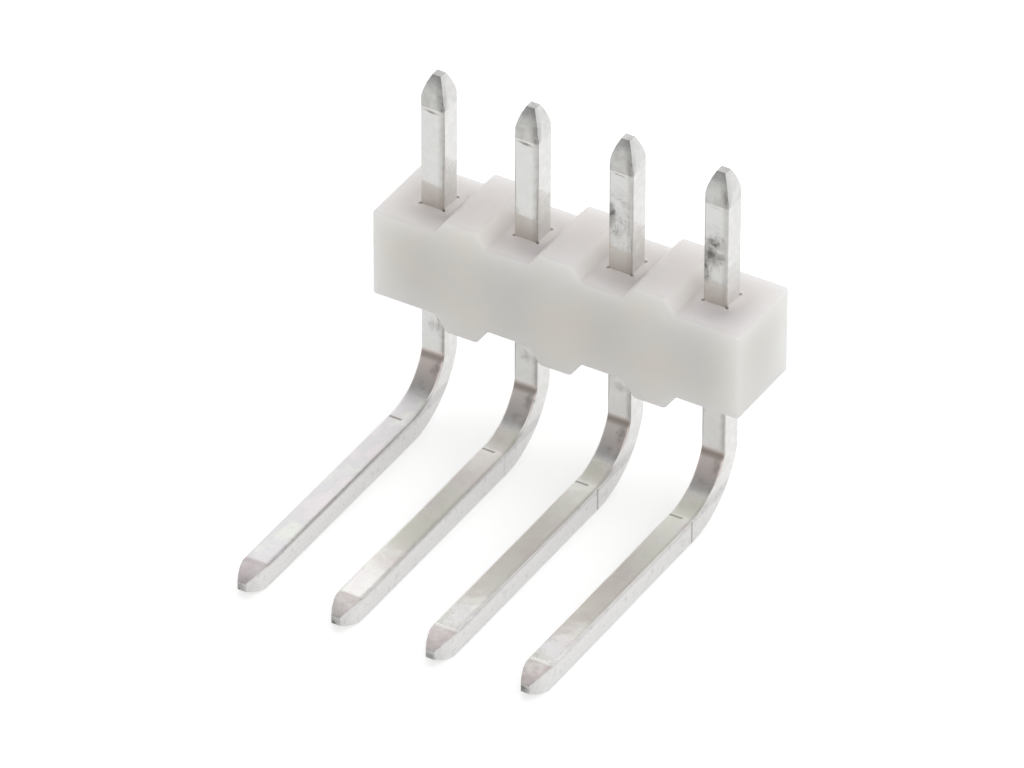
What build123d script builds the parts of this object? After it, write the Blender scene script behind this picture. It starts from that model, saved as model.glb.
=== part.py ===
from build123d import *
from math import cos, radians, sin
import os

# Four-way right-angle pin header: a moulded bar holding four bent square posts.
# Sizes are in millimetres. X runs along the row, the legs point toward -Y and
# the short ends of the posts stand up along +Z. The origin is the middle of the
# row, level with the tops of the upper ribs.

# Row
way_count = 4
pitch = 2.54

# Posts
post_width = 0.64
post_corner_radius = 0.06
short_end_length = 3.23
leg_reach = 8.95
leg_drop = 5.91
inner_bend_radius = 1.50
kink_angle = 24
inner_kink_radius = 0.45

# Coined ends of the posts, each with four sides that curve in to a small flat
taper_length = 0.80
tip_width = 0.22

# Moulded bar
end_margin = 1.14
bar_depth = 2.34
bar_height = 2.40
bar_edge_radius = 0.10

# Ribs across the bar between neighbouring posts
rib_top_width = 0.82
rib_root_width = 1.42
upper_rib_height = 0.38
lower_rib_height = 0.42
rib_crest_radius = 0.12
rib_root_radius = 0.12

# Square holes for the posts, with a small square relief in each corner
hole_clearance = 0.0
relief_width = 0.08

# Values worked out from the sizes above
row_length = (way_count - 1) * pitch
bar_half = row_length / 2 + end_margin
bar_top = -upper_rib_height
bar_bottom = bar_top - bar_height
hole_width = post_width + 2 * hole_clearance
bend_radius = inner_bend_radius + post_width / 2
kink_radius = inner_kink_radius + post_width / 2
post_positions = [index * pitch - row_length / 2 for index in range(way_count)]
rib_positions = [(left + right) / 2 for left, right in zip(post_positions, post_positions[1:])]


def rib_outline(centre, base, height):
    """Four corners of one rib, in order from its left root to its right root."""
    return [
        (centre - rib_root_width / 2, base),
        (centre - rib_top_width / 2, base + height),
        (centre + rib_top_width / 2, base + height),
        (centre + rib_root_width / 2, base),
    ]


def bar_outline():
    """The end-to-end outline of the bar seen from the front, ribs included."""
    points = [(-bar_half, bar_bottom), (-bar_half, bar_top)]
    for centre in rib_positions:
        points += rib_outline(centre, bar_top, upper_rib_height)
    points += [(bar_half, bar_top), (bar_half, bar_bottom)]
    for centre in reversed(rib_positions):
        points += reversed(rib_outline(centre, bar_bottom, -lower_rib_height))
    return points


def round_corners(sketch, belongs, radius):
    """Round the corners of a flat sketch that pass the test given."""
    return fillet([corner for corner in sketch.vertices() if belongs(corner)], radius)


def is_end(corner):
    """True for the four outer corners of the bar."""
    return abs(corner.X) > row_length / 2 + end_margin / 2


def is_crest(corner):
    """True for the corners on the crests of the ribs."""
    above = corner.Y > bar_top + upper_rib_height / 2
    below = corner.Y < bar_bottom - lower_rib_height / 2
    return above or below


def is_root(corner):
    """True for the corners where a rib meets the bar, before they are rounded."""
    return not is_end(corner) and not is_crest(corner)


def housing():
    """The bar with its ribs and one square hole for each post."""
    outline = make_face(Polyline(*bar_outline(), close=True))
    outline = round_corners(outline, is_root, rib_root_radius)
    outline = round_corners(outline, is_crest, rib_crest_radius)
    outline = round_corners(outline, is_end, bar_edge_radius)
    body = extrude(Plane.XZ * outline, amount=bar_depth / 2, both=True)
    rims = body.faces().sort_by(Axis.Y)[0].edges() + body.faces().sort_by(Axis.Y)[-1].edges()
    body = fillet(rims, bar_edge_radius)
    for x in post_positions:
        body -= Pos(x, 0, bar_bottom) * hole()
    return body


def hole():
    """The shape cut for one post: a square bore through the bar with relieved corners."""
    bore = Rectangle(hole_width, hole_width)
    corners = [(sx * hole_width / 2, sy * hole_width / 2) for sx in (-1, 1) for sy in (-1, 1)]
    reliefs = [Pos(x, y) * Rectangle(relief_width, relief_width) for x, y in corners]
    return extrude(bore + reliefs, amount=bar_height)


def wire_section():
    """The cross-section of the drawn wire that the posts are made of."""
    return RectangleRounded(post_width, post_width, post_corner_radius)


def coined_end():
    """The end of the wire as two crossed pairs of curved dies leave it, from its base upward."""
    base = post_width / 2
    tip = tip_width / 2
    left = TangentArc((-base, 0), (-tip, taper_length), tangent=(0, 1))
    right = TangentArc((base, 0), (tip, taper_length), tangent=(0, 1))
    flat = Line((-tip, taper_length), (tip, taper_length))
    profile = make_face(left + flat + right + Line((base, 0), (-base, 0)))
    front = extrude(Plane.XZ * profile, amount=post_width, both=True)
    side = extrude(Plane.YZ * profile, amount=post_width, both=True)
    return extrude(wire_section(), amount=taper_length) & front & side


def bend_path(x):
    """The centre line of one post, from below its short end's taper to before its leg's taper."""
    kink = radians(kink_angle)
    top = Vector(x, 0, short_end_length - taper_length)
    kink_drop = kink_radius * sin(kink)
    kink_run = kink_radius * (1 - cos(kink))
    bend_drop = bend_radius * (1 - sin(kink))
    bend_run = bend_radius * cos(kink)
    kink_start = Vector(x, 0, kink_drop + bend_drop - leg_drop)
    kink_end = kink_start - Vector(0, kink_run, kink_drop)
    bend_end = Vector(x, -kink_run - bend_run, -leg_drop)
    tip = Vector(x, taper_length - leg_reach, -leg_drop)
    upper = Line(top, kink_start)
    first = TangentArc(kink_start, kink_end, tangent=(0, 0, -1))
    second = TangentArc(kink_end, bend_end, tangent=(0, -sin(kink), -cos(kink)))
    return upper + first + second + Line(bend_end, tip)


def post(x):
    """One post: short end, straight through the bar, bend, leg and both coined ends."""
    path = bend_path(x)
    upper = Plane(origin=path @ 0, x_dir=(1, 0, 0), z_dir=(0, 0, 1))
    lower = Plane(origin=path @ 1, x_dir=(1, 0, 0), z_dir=(0, -1, 0))
    body = sweep(upper * wire_section(), path=path)
    return body + upper * coined_end() + lower * coined_end()


os.makedirs("parts", exist_ok=True)
export_step(housing(), "parts/housing.step")
for number, x in enumerate(post_positions, start=1):
    export_step(post(x), f"parts/pin_{number}.step")
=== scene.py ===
import bpy
import math
from mathutils import Matrix, Vector


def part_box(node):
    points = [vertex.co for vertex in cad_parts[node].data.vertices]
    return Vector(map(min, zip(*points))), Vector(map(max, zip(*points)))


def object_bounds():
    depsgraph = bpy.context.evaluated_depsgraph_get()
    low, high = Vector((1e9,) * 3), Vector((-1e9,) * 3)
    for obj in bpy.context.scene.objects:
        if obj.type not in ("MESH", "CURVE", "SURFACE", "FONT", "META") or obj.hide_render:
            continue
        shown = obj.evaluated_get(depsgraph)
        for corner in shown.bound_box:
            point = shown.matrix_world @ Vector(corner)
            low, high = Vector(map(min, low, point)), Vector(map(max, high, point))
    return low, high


# Looks for the right-angle pin header: a moulded nylon bar and tin-plated posts.
# Everything is in metres. Material patterns work in millimetres, because the
# object's own coordinates are scaled by MM before they are used.

MM = 1000.0

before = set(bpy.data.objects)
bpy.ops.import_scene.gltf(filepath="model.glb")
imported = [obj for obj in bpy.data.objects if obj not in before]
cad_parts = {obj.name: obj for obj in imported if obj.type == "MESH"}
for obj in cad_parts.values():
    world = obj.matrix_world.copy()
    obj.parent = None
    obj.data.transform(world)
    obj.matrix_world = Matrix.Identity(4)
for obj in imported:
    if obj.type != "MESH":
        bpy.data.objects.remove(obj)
cad_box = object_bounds()

POSTS = ["pin_1", "pin_2", "pin_3", "pin_4"]
post_boxes = {name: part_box(name) for name in POSTS}
bar_low, bar_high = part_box("housing")
object_low, object_high = cad_box


# Colours, as linear red, green, blue and alpha
NYLON_WARM = (0.800, 0.762, 0.702, 1.0)
NYLON_COOL = (0.775, 0.764, 0.730, 1.0)
NYLON_FLOW = (0.760, 0.745, 0.710, 1.0)
# Painted shade: the colour laid on the upward faces of the bar
NYLON_TOP_PAINTED_SHADE = (0.695, 0.645, 0.645, 1.0)
# Painted light: a lighter colour beside each post, against the shade there
NYLON_NEAR_POST_PAINTED_LIGHT = (0.880, 0.820, 0.800, 1.0)
NYLON_SPECK = (0.480, 0.430, 0.370, 1.0)
TIN_DULL = (0.820, 0.815, 0.800, 1.0)
TIN_BRIGHT = (0.900, 0.895, 0.885, 1.0)
# Painted shade on the rounded edges of the wire
TIN_EDGE_PAINTED_SHADE = (0.480, 0.470, 0.450, 1.0)
# Painted shade in the tool lines
TIN_GROOVE_PAINTED_SHADE = (0.280, 0.240, 0.210, 1.0)
# Worn plating, and painted shade along the mitres
TIN_WORN_AND_PAINTED_SHADE = (0.170, 0.165, 0.155, 1.0)
# Painted shade: the front faces of the wire greyer
TIN_FRONT_PAINTED_SHADE = (0.640, 0.640, 0.620, 1.0)
# Painted reflection of the bar's top, low on the front of the post
TIN_BASE_PAINTED_REFLECTION = (0.620, 0.540, 0.460, 1.0)
# Painted shade low on the outer side of the post, next to the bar
TIN_SIDE_BASE_PAINTED_SHADE = (0.600, 0.610, 0.560, 1.0)
# Painted light: the upper faces of the legs lighter
TIN_LEG_TOP_PAINTED_LIGHT = (0.950, 0.940, 0.905, 1.0)
TIN_GREENISH = (0.880, 0.910, 0.820, 1.0)
TIN_PINKISH = (0.900, 0.810, 0.830, 1.0)
TIN_SPANGLE = (0.660, 0.640, 0.670, 1.0)
# Painted shade: pin_1's leg upper face darker
TIN_LEG_TOP_PAINTED_SHADE = (0.740, 0.725, 0.740, 1.0)
# Painted shade on the leg's rounded edges
TIN_LEG_EDGE_PAINTED_SHADE = (0.420, 0.400, 0.410, 1.0)
TIN_TAIL = (0.480, 0.415, 0.410, 1.0)
# Painted highlight near the leg's tail
TIN_PAINTED_HIGHLIGHT = (0.960, 0.940, 0.970, 1.0)
# The coined ends' own tone on the end flats, and painted shade on the tilted facets of the upper
# end
TIN_COINED_AND_PAINTED_SHADE = (0.430, 0.425, 0.410, 1.0)
# Browner tone on the inside of the bend
TIN_BEND_INSIDE = (0.780, 0.690, 0.655, 1.0)
FLOOR_WHITE = (0.800, 0.800, 0.800, 1.0)
FLOOR_GLOW = 0.42
FLOOR_MIRRORED = 0.22

# Places and sizes on the posts and the bar, in millimetres
POST_TIP = MM * object_high.z
LEG_END = MM * object_low.y
RIB_CREST = MM * bar_high.z
RIB_HEIGHT = 0.38
BAR_TOP = RIB_CREST - RIB_HEIGHT
FRONT = -0.32
LEG_FACE = -5.59
LEG_START = LEG_FACE + 0.19
KINK_Z = -4.56
KINK_LINE_BELOW = 0.10
CREASE_Y = -1.83
FACET_LENGTH = 0.83
SHOULDER = POST_TIP - FACET_LENGTH
NICK_BELOW = 0.09
BASE_HEIGHT = 0.60
SIDE_BASE_HEIGHT = 1.10
BASE_SLANT = 0.15
NICK_SLANT = 0.08
MITRE_FOOT = 0.29
MITRE_SLANT = -0.22
TAIL_LENGTH = 0.70
# Place and half sizes of the painted highlight on the leg
HIGHLIGHT_FROM_END = 1.30
HIGHLIGHT_SIZE = (0.50, 0.75, 0.40)
NEAR_POST_SIZE = (1.10, 1.10, 1.20)

# Heights of the material bumps, in metres
SKIN_BUMP = 0.000004
BAR_WAVE_BUMP = 0.00003
GRAIN_BUMP = 0.000002
POST_WAVE_BUMP = 0.00005
DENT_BUMP = 0.000008
GROOVE_BUMP = 0.000020

# Scattering in the nylon, in metres: deep in the open bar, shallow beside a post
DEEP_SCATTER = 0.0022
SHALLOW_SCATTER = 0.0004


# Small helpers for node materials

class Nodes:
    """Builds a node tree in short lines, and remembers the scaled object coordinates."""

    def __init__(self, material):
        material.use_nodes = True
        self.tree = material.node_tree
        self.tree.nodes.clear()
        self.out = self.add("ShaderNodeOutputMaterial")
        texture_place = self.add("ShaderNodeTexCoord")
        scaled = self.add("ShaderNodeVectorMath", operation="SCALE")
        self.link(texture_place.outputs["Object"], scaled.inputs[0])
        scaled.inputs["Scale"].default_value = MM
        self.place = scaled.outputs[0]

    def add(self, kind, **settings):
        node = self.tree.nodes.new(kind)
        for key, value in settings.items():
            setattr(node, key, value)
        return node

    def link(self, source, target):
        self.tree.links.new(source, target)

    def feed(self, target, value):
        """Connects a socket, or sets a plain number or colour."""
        if hasattr(value, "links"):
            self.link(value, target)
        else:
            target.default_value = value

    def math(self, operation, first, second=0.0, third=0.0, clamp=False):
        node = self.add("ShaderNodeMath", operation=operation, use_clamp=clamp)
        for socket, value in zip(node.inputs, (first, second, third)):
            self.feed(socket, value)
        return node.outputs[0]

    def split(self, vector):
        node = self.add("ShaderNodeSeparateXYZ")
        self.link(vector, node.inputs[0])
        return node.outputs

    def stretch(self, scale, shift=(0.0, 0.0, 0.0)):
        node = self.add("ShaderNodeMapping")
        self.link(self.place, node.inputs["Vector"])
        node.inputs["Scale"].default_value = scale
        node.inputs["Location"].default_value = shift
        return node.outputs[0]

    def noise(self, scale, detail, rough, vector=None, output="Fac"):
        node = self.add("ShaderNodeTexNoise")
        self.link(vector or self.place, node.inputs["Vector"])
        node.inputs["Scale"].default_value = scale
        node.inputs["Detail"].default_value = detail
        node.inputs["Roughness"].default_value = rough
        return node.outputs[output]

    def ramp(self, value, low, high, start=0.0, end=1.0):
        """Maps low..high of a value smoothly onto start..end, and holds it outside."""
        node = self.add("ShaderNodeMapRange", interpolation_type="SMOOTHSTEP")
        self.feed(node.inputs["Value"], value)
        node.inputs["From Min"].default_value = low
        node.inputs["From Max"].default_value = high
        node.inputs["To Min"].default_value = start
        node.inputs["To Max"].default_value = end
        return node.outputs["Result"]

    def mix(self, amount, first, second):
        """Mixes two colours: all of the first at 0, all of the second at 1."""
        node = self.add("ShaderNodeMix", data_type="RGBA")
        self.feed(node.inputs["Factor"], amount)
        colours = [socket for socket in node.inputs if socket.type == "RGBA"]
        for socket, value in zip(colours, (first, second)):
            self.feed(socket, value)
        return [socket for socket in node.outputs if socket.type == "RGBA"][0]

    def bump(self, height, distance, strength, normal=None):
        node = self.add("ShaderNodeBump")
        node.inputs["Strength"].default_value = strength
        node.inputs["Distance"].default_value = distance
        self.link(height, node.inputs["Height"])
        if normal is not None:
            self.link(normal, node.inputs["Normal"])
        return node.outputs[0]

    def spot(self, centre, size, vector):
        """1 at a point, falling to 0 at the half sizes given, in millimetres."""
        offset = self.add("ShaderNodeVectorMath", operation="SUBTRACT")
        self.link(vector, offset.inputs[0])
        offset.inputs[1].default_value = centre
        share = self.add("ShaderNodeVectorMath", operation="DIVIDE")
        self.link(offset.outputs[0], share.inputs[0])
        share.inputs[1].default_value = size
        length = self.add("ShaderNodeVectorMath", operation="LENGTH")
        self.link(share.outputs[0], length.inputs[0])
        return self.ramp(length.outputs["Value"], 0.0, 1.0, 1.0, 0.0)

    def band(self, value, middle, half):
        """1 where a value is at the middle, falling to 0 a half width away."""
        gap = self.math("ABSOLUTE", self.math("SUBTRACT", value, middle))
        return self.ramp(gap, 0.0, half, 1.0, 0.0)

    def wobble(self, size, scale):
        """The object coordinates, pushed about by noise so that a spot gets a ragged edge."""
        centred = self.add("ShaderNodeVectorMath", operation="SUBTRACT")
        self.link(self.noise(scale, 3.0, 0.5, output="Color"), centred.inputs[0])
        centred.inputs[1].default_value = (0.5, 0.5, 0.5)
        push = self.add("ShaderNodeVectorMath", operation="MULTIPLY_ADD")
        self.link(centred.outputs[0], push.inputs[0])
        push.inputs[1].default_value = (size, size, size)
        self.link(self.place, push.inputs[2])
        return push.outputs[0]


def nylon():
    """Off-white moulded nylon: slightly clear, satin, faintly mottled, with a fine moulded skin."""
    material = bpy.data.materials.new("nylon")
    n = Nodes(material)
    shader = n.add("ShaderNodeBsdfPrincipled")
    n.link(shader.outputs[0], n.out.inputs["Surface"])

    cloud = n.noise(0.35, 3.0, 0.6)
    flow = n.noise(1.0, 3.0, 0.6, vector=n.stretch((0.5, 1.2, 1.2)))
    speck = n.ramp(n.noise(9.0, 2.0, 0.6), 0.70, 0.80)
    colour = n.mix(n.ramp(cloud, 0.35, 0.65), NYLON_WARM, NYLON_COOL)
    colour = n.mix(n.ramp(flow, 0.45, 0.75, 0.0, 0.25), colour, NYLON_FLOW)
    colour = n.mix(n.math("MULTIPLY", speck, 0.10), colour, NYLON_SPECK)

    # Painted shade on the top: the upward faces darker and pinker
    facing = n.add("ShaderNodeNewGeometry")
    upward = n.ramp(n.split(facing.outputs["Normal"])[2], 0.3, 0.9, 0.0, 0.70)
    colour = n.mix(upward, colour, NYLON_TOP_PAINTED_SHADE)
    # Painted light around each post, lighter and warmer, to cancel the shade beside the posts
    near = 0.0
    for low, high in post_boxes.values():
        centre = (MM * (low.x + high.x) / 2, 0.0, RIB_CREST)
        near = n.math("MAXIMUM", near, n.spot(centre, NEAR_POST_SIZE, n.place))
    colour = n.mix(near, colour, NYLON_NEAR_POST_PAINTED_LIGHT)
    n.link(colour, shader.inputs["Base Color"])

    skin = n.noise(14.0, 4.0, 0.6)
    waviness = n.noise(1.4, 2.0, 0.5)
    n.link(n.ramp(skin, 0.3, 0.7, 0.40, 0.52), shader.inputs["Roughness"])
    fine = n.bump(skin, SKIN_BUMP, 0.6)
    n.link(n.bump(waviness, BAR_WAVE_BUMP, 0.4, fine), shader.inputs["Normal"])

    # Clear enough to glow inside, but not beside a post, which would darken it
    n.link(n.ramp(near, 0.10, 0.55, 1.0, 0.0), shader.inputs["Subsurface Weight"])
    shader.inputs["Subsurface Radius"].default_value = (1.0, 1.0, 0.95)
    depth = n.ramp(near, 0.05, 0.60, DEEP_SCATTER, SHALLOW_SCATTER)
    n.link(depth, shader.inputs["Subsurface Scale"])
    shader.inputs["IOR"].default_value = 1.53
    shader.inputs["Specular IOR Level"].default_value = 0.30
    return material


class Wire:
    """Where the parts of one post are, as masks from 0 to 1 in its material."""

    def __init__(self, n, middle, seed):
        self.n = n
        self.middle = middle
        x, self.along, self.height = n.split(n.place)
        self.across = n.math("SUBTRACT", x, middle)

        # Which way the surface faces: -Y is the front, +X the outer side, +Z the top
        facing = n.split(n.add("ShaderNodeNewGeometry").outputs["Normal"])
        self.side = facing[0]
        self.front = n.ramp(facing[1], -0.60, -0.50, 1.0, 0.0)
        self.inner = n.ramp(n.math("SUBTRACT", facing[2], facing[1]), 0.50, 0.80)
        self.top = n.ramp(facing[2], 0.35, 0.60)
        self.outer = n.ramp(self.side, 0.60, 0.80)
        self.on_leg = n.ramp(self.height, LEG_START - 0.1, LEG_START + 0.1, 1.0, 0.0)

        # Patterns, shifted so that no two posts share them
        drift = (seed * 3.7, seed * 1.9, seed * 2.3)
        shifted = n.stretch((1.0, 1.0, 1.0), drift)
        self.waviness = n.noise(1.1, 2.0, 0.5, vector=shifted)
        self.mottle = n.noise(5.0, 4.0, 0.65, vector=shifted)
        self.grain = n.noise(26.0, 3.0, 0.6, vector=n.stretch((1.0, 0.25, 0.25), drift))
        self.tarnish = n.noise(0.8, 3.0, 0.6, vector=n.stretch((1.5, 1.0, 1.0), drift))
        self.blotch = n.ramp(self.mottle, 0.3, 0.7, 0.75, 0.45)

    def times(self, *masks):
        """The product of masks and plain numbers."""
        product = masks[0]
        for mask in masks[1:]:
            product = self.n.math("MULTIPLY", product, mask)
        return product

    def long_edge(self):
        """The rounded long edges of the drawn wire: rougher than the flats, and painted darker as
        their shade.
        """
        squared = self.n.math("MULTIPLY", self.side, self.side)
        diagonal = self.times(squared, self.n.math("SUBTRACT", 1.0, squared))
        uneven = self.n.ramp(self.grain, 0.3, 0.7, 0.8, 1.2)
        return self.n.ramp(self.times(diagonal, uneven), 0.03, 0.16)

    def painted_edge_shade(self):
        """A band of painted shade on the front face, beside its right-hand edge."""
        return self.times(self.front, self.n.ramp(self.across, 0.13, 0.28))

    def painted_leg_edge_shade(self):
        """A broken band of painted shade on both sides of the leg's upper right-hand edge."""
        n = self.n
        over = self.times(self.top, n.ramp(self.across, 0.18, 0.28))
        down = self.times(self.outer, n.ramp(self.height, LEG_FACE - 0.13, LEG_FACE - 0.03))
        broken = n.ramp(self.mottle, 0.35, 0.65, 0.5, 1.0)
        return self.times(n.math("MAXIMUM", over, down), self.on_leg, broken)

    def base(self, length, slant):
        """The lowest stretch of the short end, up to a slightly slanted line, where the bar's
        reflection and shade are painted.
        """
        n = self.n
        line = BAR_TOP + length
        slanted = n.math("MULTIPLY_ADD", self.across, slant, self.height)
        below = n.ramp(slanted, line, line + 0.04, 1.0, 0.0)
        return self.times(below, n.ramp(self.height, MM * bar_low.z, RIB_CREST - 1.0))

    def upper_end(self):
        """The coined upper end, painted greyer as the shade of its tilted facets, with a border of
        its own on the front face.
        """
        n = self.n
        above = n.ramp(self.height, SHOULDER - 0.02, SHOULDER + 0.02)
        return self.times(above, n.math("MULTIPLY_ADD", self.front, 0.75, 0.25))

    def mitre(self):
        """A band of painted shade along the nearest mitre of the upper end, darkest at its
        shoulder.
        """
        n = self.n
        rise = n.math("SUBTRACT", self.height, SHOULDER)
        border = n.math("MULTIPLY_ADD", rise, MITRE_SLANT, MITRE_FOOT)
        from_front = n.math("SUBTRACT", border, self.across)
        from_side = n.math("ADD", border, self.along)
        inward = n.math("MAXIMUM", from_front, from_side)
        beside = n.ramp(inward, -0.02, 0.17, 1.0, 0.0)
        faded = n.ramp(rise, 0.25, 0.70, 1.0, 0.35)
        upward = n.ramp(rise, -0.06, 0.06)
        broken = n.ramp(self.mottle, 0.35, 0.60, 0.35, 1.1)
        fainter = n.ramp(self.side, 0.45, 0.60, 1.0, 0.5)
        return self.times(beside, faded, upward, broken, fainter)

    def tail(self):
        """The upper side of the coined end of the leg."""
        shoulder = LEG_END + TAIL_LENGTH
        before = self.n.ramp(self.along, shoulder - 0.06, shoulder + 0.06, 1.0, 0.0)
        return self.times(before, self.top)

    def flats(self):
        """The small flats on the two ends of the wire."""
        n = self.n
        upper = n.ramp(self.height, POST_TIP - 0.02, POST_TIP - 0.01)
        lower = n.ramp(self.along, LEG_END + 0.01, LEG_END + 0.02, 1.0, 0.0)
        return n.math("MAXIMUM", upper, lower)

    def bend(self):
        """The inside of the bend, browner and rougher than the rest."""
        upper = self.n.ramp(self.height, LEG_START - 0.10, KINK_Z - 0.40)
        below = self.n.ramp(self.height, KINK_Z - 0.02, KINK_Z + 0.10, 1.0, 0.0)
        return self.times(upper, below, self.inner)

    def kink_line(self):
        """The tool line where the bend starts, on the front face, painted dark as shade."""
        return self.times(self.n.band(self.height, KINK_Z - KINK_LINE_BELOW, 0.15), self.front)

    def crease(self, side_strength):
        """The tool line where the bend ends: part way over the top, and down the side, with painted
        shade in its groove.
        """
        n = self.n
        line = self.times(n.band(self.along, CREASE_Y, 0.055), self.on_leg)
        over = self.times(self.top, n.ramp(self.across, 0.02, 0.10, 1.0, 0.0))
        outer = self.times(self.outer, side_strength)
        return self.times(line, n.math("MAXIMUM", over, outer))

    def nick(self):
        """The tool line just below the upper end, on the front face, with painted shade in its
        groove.
        """
        n = self.n
        slanted = n.math("MULTIPLY_ADD", self.across, NICK_SLANT, self.height)
        line = n.band(slanted, SHOULDER - NICK_BELOW, 0.050)
        return self.times(line, n.band(self.across, -0.02, 0.32), self.front)

    def painted_highlight(self):
        """A ragged bright patch on the leg just before its tail: a painted highlight."""
        centre = (self.middle, LEG_END + HIGHLIGHT_FROM_END, LEG_START - 0.2)
        patch = self.n.spot(centre, HIGHLIGHT_SIZE, self.n.wobble(0.5, 2.0))
        uneven = self.n.ramp(self.mottle, 0.35, 0.65, 1.0, 0.45)
        return self.times(self.n.ramp(patch, 0.05, 0.70), uneven, self.top)

    def wear_and_painted_shade(self, marks):
        """Dark spots where the plating is dirty or wears through, and painted shade on the inside
        of the bend.
        """
        n = self.n
        ragged = n.wobble(0.30, 7.0)
        deepest = 0.0
        for (x, y, z), size, strength in marks:
            spot = n.spot((self.middle + x, y, z), size, ragged)
            deepest = n.math("MAXIMUM", deepest, self.times(spot, strength))
        uneven = n.ramp(self.mottle, 0.40, 0.60, 0.6, 1.1)
        return n.math("MULTIPLY", deepest, uneven, clamp=True)


def tin(name, middle, seed, look):
    """Bright tin plating on drawn wire: soft waves, fine scratches, tool lines, spots of wear, and
    painted shade, reflections and highlights.
    """
    material = bpy.data.materials.new(name)
    n = Nodes(material)
    shader = n.add("ShaderNodeBsdfPrincipled")
    n.link(shader.outputs[0], n.out.inputs["Surface"])
    wire = Wire(n, middle, seed)
    edge = wire.long_edge()
    bend = wire.bend()
    upper_end = wire.upper_end()
    tail = wire.tail()
    front_base = wire.times(wire.base(BASE_HEIGHT, BASE_SLANT), wire.front)
    side_base = wire.times(wire.base(SIDE_BASE_HEIGHT, 0.0), wire.outer)
    painted_highlight = wire.times(wire.painted_highlight(), look["highlight_strength"])
    wear_and_painted_shade = wire.wear_and_painted_shade(look["marks"] + SHARED_MARKS)
    nick = wire.times(wire.nick(), look["nick"])
    groove = n.math("MAXIMUM", wire.crease(look["side_crease"]), nick)
    uneven_bend = wire.times(bend, n.ramp(wire.waviness, 0.35, 0.65, 0.55, 0.95))

    leg_top = wire.times(wire.on_leg, wire.top)
    leg_side = wire.times(wire.outer, wire.on_leg)

    # Colour: each layer is a mask with its strength, and the colour that it lays on
    colour = n.mix(n.ramp(wire.mottle, 0.35, 0.70), TIN_DULL, TIN_BRIGHT)
    layers = (
        # Painted light on the legs' upper faces, painted shade on pin_1's
        (wire.times(leg_top, n.ramp(wire.mottle, 0.3, 0.7, 0.75, 1.0)), look["leg"]),
        (wire.times(leg_top, n.ramp(wire.tarnish, 0.50, 0.65), 0.60), TIN_GREENISH),
        (wire.times(leg_top, n.ramp(wire.tarnish, 0.36, 0.50, 1.0, 0.0), 0.45), TIN_PINKISH),
        (wire.times(leg_side, n.ramp(wire.mottle, 0.52, 0.66), 0.60), TIN_SPANGLE),
        # Painted shade on the rounded long edges
        (wire.times(edge, 0.10), TIN_EDGE_PAINTED_SHADE),
        # Painted shade along the leg's rounded edges
        (wire.times(edge, wire.on_leg, wire.blotch, 0.30), TIN_LEG_EDGE_PAINTED_SHADE),
        (wire.times(wire.painted_leg_edge_shade(), 0.35), TIN_LEG_EDGE_PAINTED_SHADE),
        # Painted shade: the front-facing faces greyer than the sides
        (wire.times(wire.front, 0.50), TIN_FRONT_PAINTED_SHADE),
        # Painted shade: a soft grey band where the front face rounds into the side
        (wire.times(wire.painted_edge_shade(), wire.blotch), TIN_EDGE_PAINTED_SHADE),
        # Painted reflection of the bar's top, on the front just above it
        (wire.times(front_base, 0.34), TIN_BASE_PAINTED_REFLECTION),
        # Painted shade low on the outer side, next to the bar
        (wire.times(side_base, 0.12), TIN_SIDE_BASE_PAINTED_SHADE),
        # Painted shade: the tilted facets of the upper end greyer
        (wire.times(upper_end, wire.blotch), TIN_COINED_AND_PAINTED_SHADE),
        # Painted shade along the mitre
        (wire.times(wire.mitre(), look["mitre"], 0.90), TIN_WORN_AND_PAINTED_SHADE),
        (uneven_bend, TIN_BEND_INSIDE),
        # Painted shade: a dark line where the bend starts
        (wire.times(wire.kink_line(), 0.85), TIN_GROOVE_PAINTED_SHADE),
        (wire.times(wire.flats(), wire.blotch), TIN_COINED_AND_PAINTED_SHADE),
        # Painted highlight on the leg near its tail
        (painted_highlight, TIN_PAINTED_HIGHLIGHT),
        (wire.times(tail, wire.blotch), TIN_TAIL),
        # Painted shade in the grooves of the crease and the nick
        (wire.times(groove, 0.75), TIN_GROOVE_PAINTED_SHADE),
        # Spots of wear and dirt, and painted shade inside the bend
        (wear_and_painted_shade, TIN_WORN_AND_PAINTED_SHADE),
    )
    for mask, layer in layers:
        colour = n.mix(mask, colour, layer)
    n.link(colour, shader.inputs["Base Color"])

    # Roughness: each place is at least as rough as the level given for it
    rougher_inward = n.ramp(wire.along, -6.5, -3.0, 0.55, 1.0)
    roughness = n.ramp(wire.mottle, 0.3, 0.7, 0.09, 0.17)
    rough_places = (
        (edge, 0.26),
        (wear_and_painted_shade, 0.35),
        (front_base, 0.40),
        (side_base, 0.45),
        (bend, 0.45),
        (upper_end, 0.24),
        (wire.times(leg_top, rougher_inward), 0.34),
        (painted_highlight, 0.60),
        (tail, 0.35),
    )
    for mask, level in rough_places:
        roughness = n.math("MAXIMUM", roughness, wire.times(mask, level))
    n.link(roughness, shader.inputs["Roughness"])
    shader.inputs["Metallic"].default_value = 1.0

    fine = n.bump(wire.grain, GRAIN_BUMP, 0.4)
    soft = n.bump(wire.waviness, POST_WAVE_BUMP, 0.35, fine)
    dents = n.bump(wire.mottle, DENT_BUMP, 0.35, soft)
    depth = n.math("MULTIPLY", groove, -1.0)
    n.link(n.bump(depth, GROOVE_BUMP, 0.8, dents), shader.inputs["Normal"])
    return material


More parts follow.
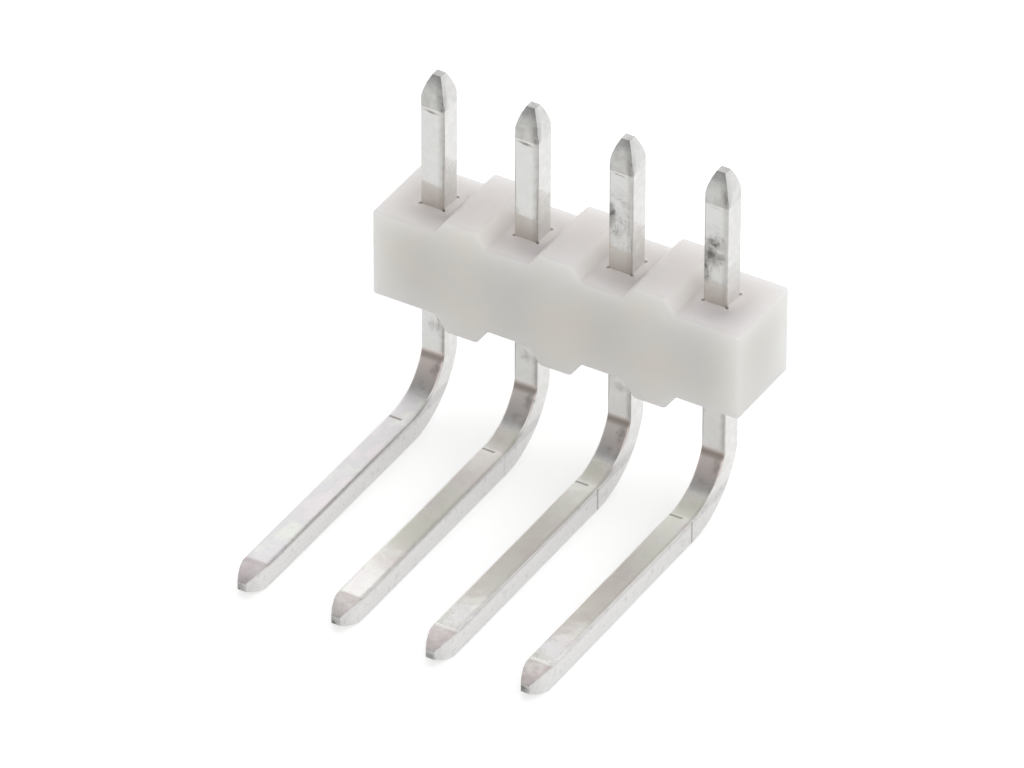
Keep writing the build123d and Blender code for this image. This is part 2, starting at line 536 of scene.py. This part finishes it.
def paper():
    """Plain white floor that shows as white to the camera and keeps the object's shadow."""
    material = bpy.data.materials.new("paper")
    n = Nodes(material)
    diffuse = n.add("ShaderNodeBsdfDiffuse")
    diffuse.inputs["Color"].default_value = FLOOR_WHITE
    glow = n.add("ShaderNodeEmission")
    glow.inputs["Color"].default_value = (1.0, 1.0, 1.0, 1.0)
    path = n.add("ShaderNodeLightPath")
    seen = n.math("MULTIPLY", path.outputs["Is Camera Ray"], FLOOR_GLOW)
    mirrored = n.math("MULTIPLY", path.outputs["Is Glossy Ray"], FLOOR_MIRRORED)
    n.link(n.math("ADD", seen, mirrored), glow.inputs["Strength"])
    both = n.add("ShaderNodeAddShader")
    n.link(diffuse.outputs[0], both.inputs[0])
    n.link(glow.outputs[0], both.inputs[1])
    n.link(both.outputs[0], n.out.inputs["Surface"])
    return material


def dress(node, material):
    """Gives a node of the part its one material."""
    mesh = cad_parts[node].data
    mesh.materials.clear()
    mesh.materials.append(material)


# What differs from post to post: the colour of the leg's upper face, painted lighter, on pin_1
# darker, how strong the nick, the mitre's band of painted shade, the crease down the side and the
# painted highlight are, and the dark marks.
# A mark has its place, with X from the post's own middle, its half sizes in millimetres,
# and how dark it is.
LOOKS = {
    "pin_1": {
        "leg": TIN_LEG_TOP_PAINTED_SHADE,
        "nick": 1.00,
        "mitre": 1.00,
        "side_crease": 0.0,
        "highlight_strength": 0.2,
        "marks": [
            ((0.16, FRONT, -3.72), (0.12, 0.3, 0.40), 0.60),
            ((0.00, FRONT, -3.78), (0.16, 0.3, 0.26), 0.35),
        ],
    },
    "pin_2": {
        "leg": TIN_LEG_TOP_PAINTED_LIGHT,
        "nick": 1.00,
        "mitre": 1.00,
        "side_crease": 0.2,
        "highlight_strength": 0.4,
        "marks": [
            ((0.03, FRONT, -3.75), (0.26, 0.3, 0.22), 0.35),
        ],
    },
    "pin_3": {
        "leg": TIN_LEG_TOP_PAINTED_LIGHT,
        "nick": 0.12,
        "mitre": 0.80,
        "side_crease": 0.8,
        "highlight_strength": 0.8,
        "marks": [
            ((-0.26, FRONT, 1.16), (0.19, 0.3, 0.54), 1.00),
            ((-0.10, FRONT, 0.70), (0.12, 0.3, 0.14), 0.40),
            ((0.02, FRONT, -3.70), (0.22, 0.3, 0.18), 0.35),
        ],
    },
    "pin_4": {
        "leg": TIN_LEG_TOP_PAINTED_LIGHT,
        "nick": 0.05,
        "mitre": 0.75,
        "side_crease": 0.8,
        "highlight_strength": 1.0,
        "marks": [
            ((0.00, FRONT, 1.32), (0.36, 0.3, 0.28), 0.95),
            ((-0.16, FRONT, 0.95), (0.36, 0.3, 0.42), 1.00),
            ((-0.26, FRONT, 0.55), (0.22, 0.3, 0.52), 1.00),
            ((0.12, FRONT, 0.95), (0.26, 0.3, 0.24), 0.60),
        ],
    },
}

# Dark marks that every post has: painted shade on the inside of the bend, and a dark mark on the
# end of the leg
SHARED_MARKS = [
    ((-0.06, -8.95, -5.95), (0.24, 0.18, 0.20), 0.90),
    ((0.18, -0.45, -4.92), (0.18, 0.3, 0.30), 0.50),
    ((-0.02, -0.72, -5.28), (0.22, 0.2, 0.14), 0.35),
]

dress("housing", nylon())
for index, name in enumerate(POSTS):
    low, high = post_boxes[name]
    middle = MM * (low.x + high.x) / 2
    dress(name, tin(f"tin_{index + 1}", middle, index + 1.0, LOOKS[name]))


# Floor, level with the undersides of the legs
FLOOR_HALF = 0.6


def white_floor():
    """A square of paper under the part."""
    mesh = bpy.data.meshes.new("floor")
    turns = ((-1, -1), (1, -1), (1, 1), (-1, 1))
    corners = [(x * FLOOR_HALF, y * FLOOR_HALF, object_low.z) for x, y in turns]
    mesh.from_pydata(corners, [], [(0, 1, 2, 3)])
    floor = bpy.data.objects.new("floor", mesh)
    bpy.context.scene.collection.objects.link(floor)
    floor.data.materials.append(paper())


white_floor()

# World: the studio's white walls, and the darker side where the camera stands
DARK_SIDE = Vector((-0.42, -0.62, 0.66))
DARK_STARTS = 0.55
DARK_FULL = 0.95
DARK_LEVEL = 0.38


def studio():
    """A white world that is darker on one side, and white wherever the camera sees it."""
    world = bpy.data.worlds.new("studio")
    bpy.context.scene.world = world
    world.use_nodes = True
    tree = world.node_tree
    tree.nodes.clear()
    output = tree.nodes.new("ShaderNodeOutputWorld")
    background = tree.nodes.new("ShaderNodeBackground")
    place = tree.nodes.new("ShaderNodeTexCoord")
    facing = tree.nodes.new("ShaderNodeVectorMath")
    facing.operation = "DOT_PRODUCT"
    facing.inputs[1].default_value = DARK_SIDE.normalized()
    shade = tree.nodes.new("ShaderNodeMapRange")
    shade.interpolation_type = "SMOOTHSTEP"
    shade.inputs["From Min"].default_value = DARK_STARTS
    shade.inputs["From Max"].default_value = DARK_FULL
    shade.inputs["To Min"].default_value = 1.0
    shade.inputs["To Max"].default_value = DARK_LEVEL
    path = tree.nodes.new("ShaderNodeLightPath")
    pick = tree.nodes.new("ShaderNodeMath")
    pick.operation = "MAXIMUM"
    tree.links.new(place.outputs["Generated"], facing.inputs[0])
    tree.links.new(facing.outputs["Value"], shade.inputs["Value"])
    tree.links.new(shade.outputs["Result"], pick.inputs[0])
    tree.links.new(path.outputs["Is Camera Ray"], pick.inputs[1])
    tree.links.new(pick.outputs[0], background.inputs["Strength"])
    background.inputs["Color"].default_value = (1.0, 1.0, 1.0, 1.0)
    tree.links.new(background.outputs[0], output.inputs["Surface"])


studio()

# Lamps, in metres and watts
LAMP_SIZE = 0.20
FRONT_LAMP = (0.15, -0.24, 0.12)
FRONT_POWER = 0.04
TOP_LAMP = (-0.05, 0.05, 0.30)
TOP_POWER = 0.08


def lamp(name, place, power):
    """A soft square lamp that lights the part but isn't mirrored in it."""
    data = bpy.data.lights.new(name, "AREA")
    data.energy = power
    data.size = LAMP_SIZE
    light = bpy.data.objects.new(name, data)
    bpy.context.scene.collection.objects.link(light)
    light.location = place
    light.rotation_euler = (-Vector(place)).to_track_quat("-Z", "Y").to_euler()
    light.visible_glossy = False


lamp("front_fill", FRONT_LAMP, FRONT_POWER)
lamp("top_fill", TOP_LAMP, TOP_POWER)

# Camera, fitted to the photograph, in millimetres, degrees and pixels. It is placed from
# the middle of the bar's top, which lies at CAMERA_BASE. NEAREST and FARTHEST, the limits
# of what it sees, are in metres.
CAMERA_AZIMUTH = 30.5
CAMERA_ELEVATION = 36.12
CAMERA_ROLL = 0.12
CAMERA_DISTANCE = 300.0
CAMERA_SIDE = -1.576
CAMERA_UP = -3.161
CAMERA_BASE = -0.38
FOCAL_PIXELS = 12890.0
PHOTO_WIDTH = 1024
SENSOR = 36.0
NEAREST = 0.01
FARTHEST = 10.0


def camera():
    """Sees the part as the photograph does, from far away through a long lens."""
    data = bpy.data.cameras.new("camera")
    eye = bpy.data.objects.new("camera", data)
    bpy.context.scene.collection.objects.link(eye)
    bpy.context.scene.camera = eye
    a = math.radians(CAMERA_AZIMUTH)
    e = math.radians(CAMERA_ELEVATION)
    back = Vector((math.sin(a) * math.cos(e), -math.cos(a) * math.cos(e), math.sin(e)))
    right = Vector((math.cos(a), math.sin(a), 0.0))
    up = back.cross(right)
    turn = Matrix.Rotation(math.radians(CAMERA_ROLL), 3, back)
    right = turn @ right
    up = turn @ up
    place = (right * CAMERA_SIDE + up * CAMERA_UP + back * CAMERA_DISTANCE) / MM
    place.z += CAMERA_BASE / MM
    eye.matrix_world = Matrix.Translation(place) @ Matrix((right, up, back)).transposed().to_4x4()
    data.sensor_width = SENSOR
    data.lens = FOCAL_PIXELS / PHOTO_WIDTH * SENSOR
    data.clip_start = NEAREST
    data.clip_end = FARTHEST


camera()
bpy.context.scene.view_settings.view_transform = "Standard"
